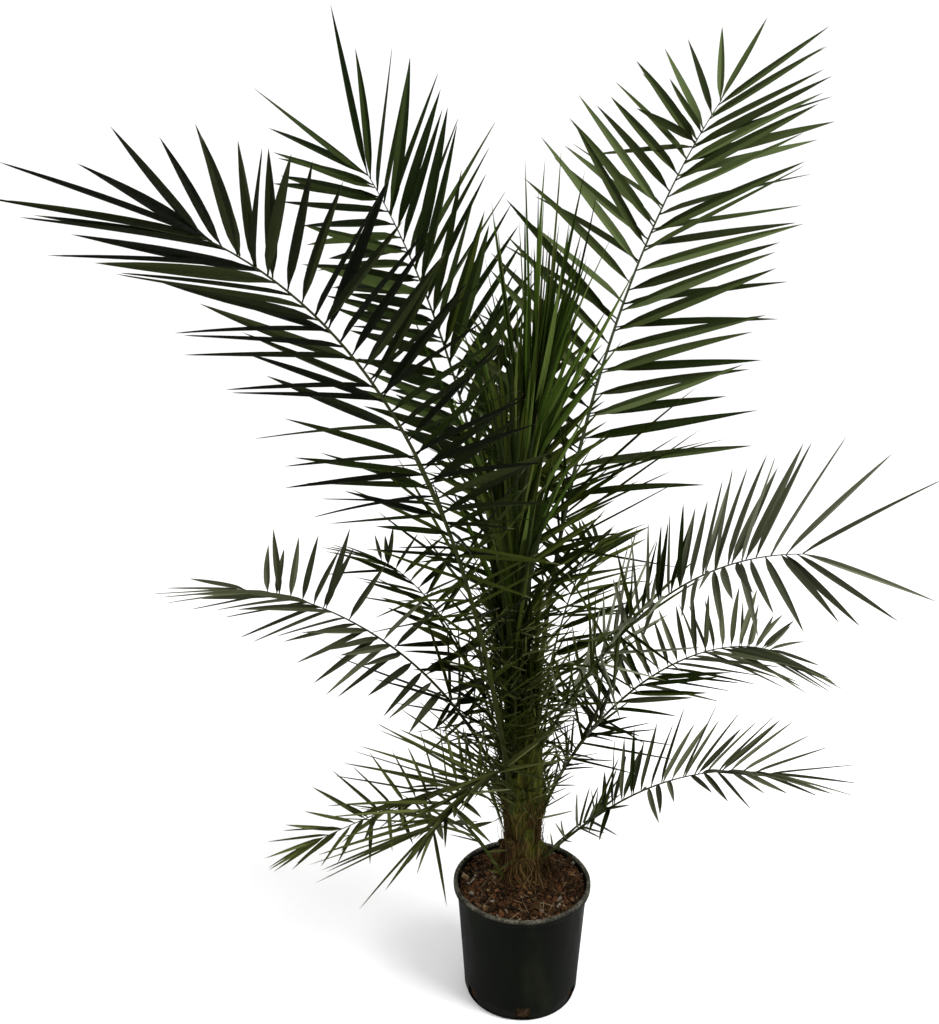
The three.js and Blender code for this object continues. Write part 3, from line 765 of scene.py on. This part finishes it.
def make_heart(rng):
    """The column above the stem: packed leaf bases, and young leaflets on the inner frond's rib."""
    packed, young = 110, 76
    young_low, young_high = 0.93, 1.30
    count = packed + young
    is_young = np.arange(count) >= packed
    low = np.concatenate([
        rng.uniform(0.44, 0.86, packed), rng.uniform(young_low, young_high, young),
    ])
    above = low - 0.88
    out, across = around(rng.uniform(0, 2 * np.pi, count))
    apart = rng.uniform(0.004, 0.030, count) * np.where(is_young, 0.6 + 6 * above, 1)
    base = out * apart[:, None] + UPRIGHT * low[:, None]
    base[:, 0] += np.where(is_young, COLUMN_LEAN * (1 - 4 * above), column_lean(low))
    loose = np.where(is_young, 2.5, 1)[:, None]
    outwards, sideways = rng.normal(0.03, 0.05, count)[:, None], rng.normal(0, 0.05, count)[:, None]
    aim = unit(out * outwards * loose + across * sideways * loose + UPRIGHT)
    tip = base + aim * rng.uniform(0.12, 0.28, count)[:, None]
    rib = next(f for f in fronds if f.name == "inner_open")
    foot = young_low + (low - young_low) * 0.5
    on_rib = rib.point(np.interp(foot, rib.points[:, 2], np.linspace(0, 1, STEPS + 1)))
    base = np.where(is_young[:, None], on_rib, base)
    length = np.linalg.norm(tip - base, axis=1)
    width = rng.uniform(0.006, 0.012, count)
    bow = rng.normal(0, 0.02, (count, 3))
    grid, uv = blades(base, unit(tip - base), out, length, width, SPINE_SHAPE, bow)
    looks = [*LEAVES["inner"], SPINE_GREEN, *LEAVES["fresh"][:2]]
    young_pick = rng.choice((0, 1, 2, 4, 5), count, p=(0.1, 0.15, 0.25, 0.2, 0.3))
    pick = np.where(is_young, young_pick, rng.choice(4, count, p=(0.5, 0.25, 0.1, 0.15)))
    mesh = Mesh()
    mesh.tubes(grid, np.repeat(pick[:, None], SPINE_RINGS - 1, 1), uv)
    mesh.build("heart_leaves", looks)


make_stem(np.random.default_rng(SEED + 40))
make_heart(np.random.default_rng(SEED + 43))
make_stubble(np.random.default_rng(SEED + 42))
make_fibres(np.random.default_rng(SEED + 41))

# ---------------------------------------------------------------- soil
# The soil's side, just inside the pot's wall: radius, height.
SOIL_SIDE = ((0.1022, 0.0045), (0.1035, 0.0135), (0.1070, 0.050), (0.1195, 0.222))
SOIL_EDGE = SOIL_ROWS[-1, 0]
CHIP_LOOKS = (
    ("chip_black", (0.008, 0.005, 0.003)), ("chip_dark", (0.022, 0.012, 0.006)),
    ("chip_brown", (0.044, 0.023, 0.010)), ("chip_red", (0.068, 0.027, 0.011)),
    ("chip_orange", (0.10, 0.050, 0.020)), ("chip_tan", (0.14, 0.10, 0.055)),
    ("chip_grey", (0.12, 0.105, 0.080)),
)
BOX_CORNERS = np.array([
    [x, y, z] for z in (-1, 1) for x, y in ((-1, -1), (1, -1), (1, 1), (-1, 1))
], float)


def soil_material():
    m = Material("soil", (0.02, 0.01, 0.006), 0.95)
    value = m.noise(160.0, 6.0)
    tint = m.ramp(value, (0.35, (0.005, 0.003, 0.002)), (0.52, (0.020, 0.011, 0.005)),
                  (0.68, (0.050, 0.029, 0.014)))
    m.feed(m.shader["Base Color"], tint)
    m.bump(value, 1.0, 0.002)
    return m.data


def make_soil(rng):
    """The body of the soil, with an uneven top."""
    rings, sides = 40, 96
    r = np.linspace(0.002, SOIL_EDGE, rings)
    t = circle(sides)
    z = soil_height(r)[:, None] + rng.normal(0, 0.0012, (rings, sides)) - 0.002
    top = np.stack([r[:, None] * np.cos(t), r[:, None] * np.sin(t), z], -1)
    side = lathe(SOIL_SIDE, sides)
    floor_centre = side[:1] * (0.02, 0.02, 1)
    whole = np.concatenate([floor_centre, side, top[::-1]])
    mesh = Mesh()
    mesh.tubes(whole[None], np.zeros((1, len(whole) - 1), int))
    mesh.build("soil_bed", [soil_material()], replaces=["soil"])


def make_chips(rng):
    """Bark chips strewn over the bed, as flattened eight-cornered splinters, and a few straws."""
    count = 9000
    r = np.sqrt(rng.uniform(0.036**2, 0.1175**2, count))
    t = rng.uniform(0, 2 * np.pi, count)
    size = rng.gamma(2.5, 0.00052, count) + 0.0007
    r = np.minimum(r, SOIL_EDGE - 1.6 * size)
    spans = ((1.0, 2.6), (0.5, 1.0), (0.18, 0.5))  # of its length, width and thickness
    dims = np.stack([size * rng.uniform(*span, count) for span in spans], -1)
    local = BOX_CORNERS[None] * dims[:, None] * rng.uniform(0.65, 1.15, (count, 8, 1))
    spin = rng.uniform(0, 2 * np.pi, count)
    tip, roll = rng.normal(0, 0.35, count), rng.normal(0, 0.35, count)
    for angle, axis in ((roll, (1, 0, 0)), (tip, (0, 1, 0)), (spin, (0, 0, 1))):
        axis = np.broadcast_to(np.array(axis, float), local.shape)
        local = turned(local, axis, np.repeat(angle[:, None], 8, 1))
    z = soil_height(r) + rng.uniform(-0.0008, 0.0025, count)
    centre = np.stack([r * np.cos(t), r * np.sin(t), z], -1)
    dusty = np.clip((r - 0.085) / 0.03, 0, 1)
    pick = rng.choice(5, count, p=(0.26, 0.30, 0.24, 0.13, 0.07))
    pale = rng.random(count) < 0.02 + 0.07 * dusty
    pick = np.where(pale, rng.choice((5, 6), count), pick)
    mesh = Mesh()
    mesh.tubes((centre[:, None] + local).reshape(count, 2, 4, 3), pick[:, None])
    add_straws(mesh, rng)
    looks = [plain_material(name, color, 0.85, 300.0, 0.6, 0.0008) for name, color in CHIP_LOOKS]
    mesh.build("soil_chips", looks, crease=30)


def add_straws(mesh, rng):
    count = 110
    s = np.linspace(-0.5, 0.5, 5)[None]
    a, r = rng.uniform(0, 2 * np.pi, count), np.sqrt(rng.uniform(0.05**2, 0.112**2, count))
    turn = rng.uniform(0, 2 * np.pi, count)[:, None]
    long = rng.uniform(0.012, 0.035, count)[:, None]
    x = (r * np.cos(a))[:, None] + np.cos(turn) * long * s
    y = (r * np.sin(a))[:, None] + np.sin(turn) * long * s
    inside = np.minimum(1, 0.116 / np.hypot(x, y))
    x, y = x * inside, y * inside
    z = soil_height(np.hypot(x, y)) + 0.0035 + rng.uniform(0, 0.002, count)[:, None]
    radius = rng.uniform(0.0004, 0.0009, count)
    strands(mesh, np.stack([x, y, z], -1), radius, rng.choice((2, 5), count))


make_soil(np.random.default_rng(SEED + 50))
make_chips(np.random.default_rng(SEED + 51))

# ---------------------------------------------------------------- pot
POT_SIDES = 192
DRAINS, DRAIN_HALF, DRAIN_RADIUS = 6, 0.013, 0.107
DRAIN_LOW, DRAIN_HIGH = 0.004, 0.032
OUTER = (  # radius, height
    (0.0, 0.0), (0.060, 0.0), (0.098, 0.0), (0.1035, 0.0006), (0.1055, 0.0022), (0.1058, DRAIN_LOW),
    (0.1060, 0.009), (0.1072, 0.0115), (0.1090, 0.0135), (0.1099, DRAIN_HIGH), (0.1110, 0.050),
    (0.1140, 0.095), (0.1170, 0.140), (0.1200, 0.185), (0.1228, 0.222), (0.1232, 0.2255),
    (0.1262, 0.2262), (0.1290, 0.2268), (0.1298, 0.2290), (0.1300, 0.2340), (0.1297, 0.2375),
    (0.1285, 0.2393), (0.1265, 0.2400), (0.1240, 0.2398), (0.1225, 0.2388), (0.1219, 0.2370),
)
INNER = (
    (0.1212, 0.2300), (0.1205, 0.222), (0.1170, 0.185), (0.1140, 0.140), (0.1110, 0.095),
    (0.1080, 0.050), (0.1069, DRAIN_HIGH), (0.1045, 0.0135), (0.1040, 0.0115), (0.1033, 0.009),
    (0.1030, DRAIN_LOW), (0.060, 0.0040), (0.0, 0.0040),
)


def pot_material():
    """Moulded black plastic: soft mottled sheen, patchy dust and painted highlight on the lip's
    top.
    """
    m = Material("pot_plastic", (0.005, 0.007, 0.005), 0.5, 0.025)
    cloud, fine = m.noise(26.0, 5.0, m.stretched(0.25)), m.noise(240.0, 3.0)
    body = m.ramp(cloud, (0.35, (0.0010, 0.0014, 0.0008)), (0.55, (0.0020, 0.0028, 0.0015)),
                  (0.75, (0.006, 0.007, 0.0035)))
    dust_and_highlight = m.ramp(fine, (0.35, (0.020, 0.018, 0.012)), (0.6, (0.10, 0.095, 0.072)))
    # Dust and painted highlight: the lip pales towards its crest, where light from above falls.
    top = m.remap(m.parts()["Z"], 0.233, 0.2395, 0.0, 1.0)
    patches = m.remap(m.noise(40.0, 3.0), 0.35, 0.6, 0.25, 1.0)
    m.feed(m.shader["Base Color"], m.mixed(m.maths("MULTIPLY", top, patches), body, dust_and_highlight))
    m.bump(fine, 0.15, 0.0005)
    m.uneven(cloud, 0.42, 0.68)
    return m.data


def row_at(profile, height):
    return next(i for i, (_, z) in enumerate(profile) if z == height)


def make_pot():
    """One closed wall, turned from its profile, with drain openings through it near the foot."""
    profile, n = OUTER + INNER, POT_SIDES
    low_out, high_out = row_at(OUTER, DRAIN_LOW), row_at(OUTER, DRAIN_HIGH)
    high_in, low_in = len(OUTER) + row_at(INNER, DRAIN_HIGH), len(OUTER) + row_at(INNER, DRAIN_LOW)
    middle = circle(n) + math.pi / n
    pitch = 2 * math.pi / DRAINS
    away = np.abs((middle - math.pi / 2 + pitch / 2) % pitch - pitch / 2)
    hole = away < math.asin(DRAIN_HALF / DRAIN_RADIUS)
    faces = []
    for k in range(len(profile) - 1):
        in_rows = low_out <= k < high_out or high_in <= k < low_in
        for i in range(n):
            if not (in_rows and hole[i]):
                a, b = k * n + i, k * n + (i + 1) % n
                faces.append((a, b, b + n, a + n))
    # The four sides of each opening join the wall's two faces.
    for i in range(n):
        j = (i + 1) % n
        if hole[i]:
            faces.append((low_out * n + j, low_out * n + i, low_in * n + i, low_in * n + j))
            faces.append((high_out * n + i, high_out * n + j, high_in * n + j, high_in * n + i))
        if hole[i] != hole[j]:
            for s in range(high_out - low_out):
                a, b = (low_out + s) * n + j, (low_out + s + 1) * n + j
                c, d = (low_in - s - 1) * n + j, (low_in - s) * n + j
                faces.append((a, b, c, d) if hole[j] else (d, c, b, a))
    mesh = Mesh()
    mesh.polygons(lathe(profile, n), faces, [0] * len(faces))
    piece = mesh.build("pot_body", [pot_material()], crease=45, replaces=["pot"])
    bm = bmesh.new()
    bm.from_mesh(piece.data)
    bmesh.ops.remove_doubles(bm, verts=bm.verts, dist=1e-5)
    bmesh.ops.recalc_face_normals(bm, faces=bm.faces)
    bm.to_mesh(piece.data)
    bm.free()


make_pot()

# ---------------------------------------------------------------- stage, light and camera
FLOOR_PROFILE = (
    (1.5, 0.0), (5.0, 0.0), (6.5, 0.12), (7.6, 0.6), (8.3, 1.4), (8.7, 2.6), (8.8, 4.0), (8.8, 6.5),
)
WORLD_STRENGTH = 0.85
LIGHT_TARGET = (0, 0, 0.9)
CAMERA_PLACE, CAMERA_TILT, CAMERA_LENS = (-0.0995, -1.92, 1.62), 18.62, 41.87  # the photo's


def make_stage():
    """A pale round floor that sweeps up into a wall."""
    n = 96
    points = lathe(FLOOR_PROFILE, n)
    faces = [((k + 1) * n + i, (k + 1) * n + (i + 1) % n, k * n + (i + 1) % n, k * n + i)
             for k in range(len(FLOOR_PROFILE) - 1) for i in range(n)]
    faces.append(tuple(range(n)))
    mesh = bpy.data.meshes.new("floor")
    mesh.from_pydata(points.reshape(-1, 3).tolist(), [], faces)
    mesh.shade_smooth()
    mesh.materials.append(Material("floor_paint", (0.94, 0.94, 0.94), 0.9, 0.1).data)
    floor = bpy.data.objects.new("floor", mesh)
    bpy.context.scene.collection.objects.link(floor)


def area_light(name, place, size, power):
    data = bpy.data.lights.new(name, "AREA")
    data.shape, data.size, data.energy = "DISK", size, power
    lamp = bpy.data.objects.new(name, data)
    bpy.context.scene.collection.objects.link(lamp)
    lamp.location = place
    lamp.rotation_euler = (Vector(LIGHT_TARGET) - Vector(place)).to_track_quat("-Z", "Y").to_euler()


make_stage()
scene = bpy.context.scene
scene.world = bpy.data.worlds.new("studio")
scene.world.use_nodes = True
background = scene.world.node_tree.nodes["Background"]
background.inputs["Color"].default_value = (1.0, 1.0, 1.0, 1)
background.inputs["Strength"].default_value = WORLD_STRENGTH
area_light("key", (2.6, -1.6, 4.6), 2.5, 330)
area_light("fill", (-3.0, -3.2, 2.2), 3.0, 60)
scene.view_settings.view_transform = "Standard"

camera = bpy.data.objects.new("camera", bpy.data.cameras.new("camera"))
scene.collection.objects.link(camera)
camera.data.sensor_width, camera.data.lens, camera.data.clip_end = 36.0, CAMERA_LENS, 60
camera.location = CAMERA_PLACE
camera.rotation_euler = (math.radians(90 - CAMERA_TILT), 0, 0)
bpy.context.scene.camera = camera
